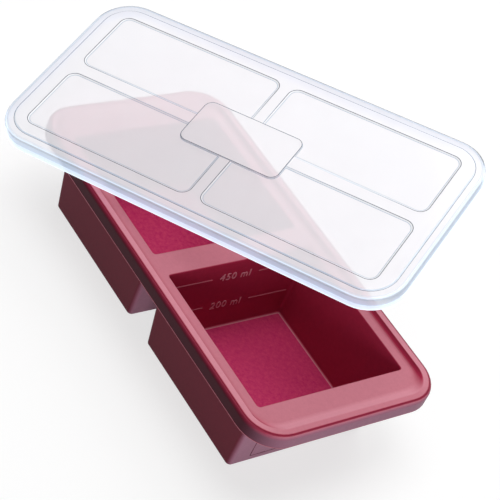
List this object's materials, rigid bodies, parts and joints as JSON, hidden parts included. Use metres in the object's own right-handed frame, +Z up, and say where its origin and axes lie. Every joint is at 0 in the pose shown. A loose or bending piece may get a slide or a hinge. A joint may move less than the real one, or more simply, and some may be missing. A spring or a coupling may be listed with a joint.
{
  "type": "silicone freezer tray",
  "caption": "Deep-cupped silicone freezer tray with a steel-stiffened rim and a clear snap-over lid, for freezing food in large blocks.",
  "frame": {"origin": "middle of the tray's footprint, on the surface that its cups stand on", "axes": "+Z up; +X along the tray, towards the cup with the label frame on its end wall; +Y across the tray"},
  "size_m": [0.3415, 0.2262, 0.1557],
  "materials": {
    "silicone": "satin burgundy silicone",
    "steel_wire": "drawn wire, sealed inside the rim",
    "clear_plastic": "clear, slightly milky, glossy"
  },
  "bodies": {
    "tray": {"tray": "silicone", "rim_ring": "steel_wire"},
    "lid": {"lid": "clear_plastic"}
  },
  "joints": [
    {"name": "lid_lift", "type": "slide", "parent": "tray", "child": "lid", "axis": [0, 0, 1], "range_m": [0, 0.12]}
  ]
}
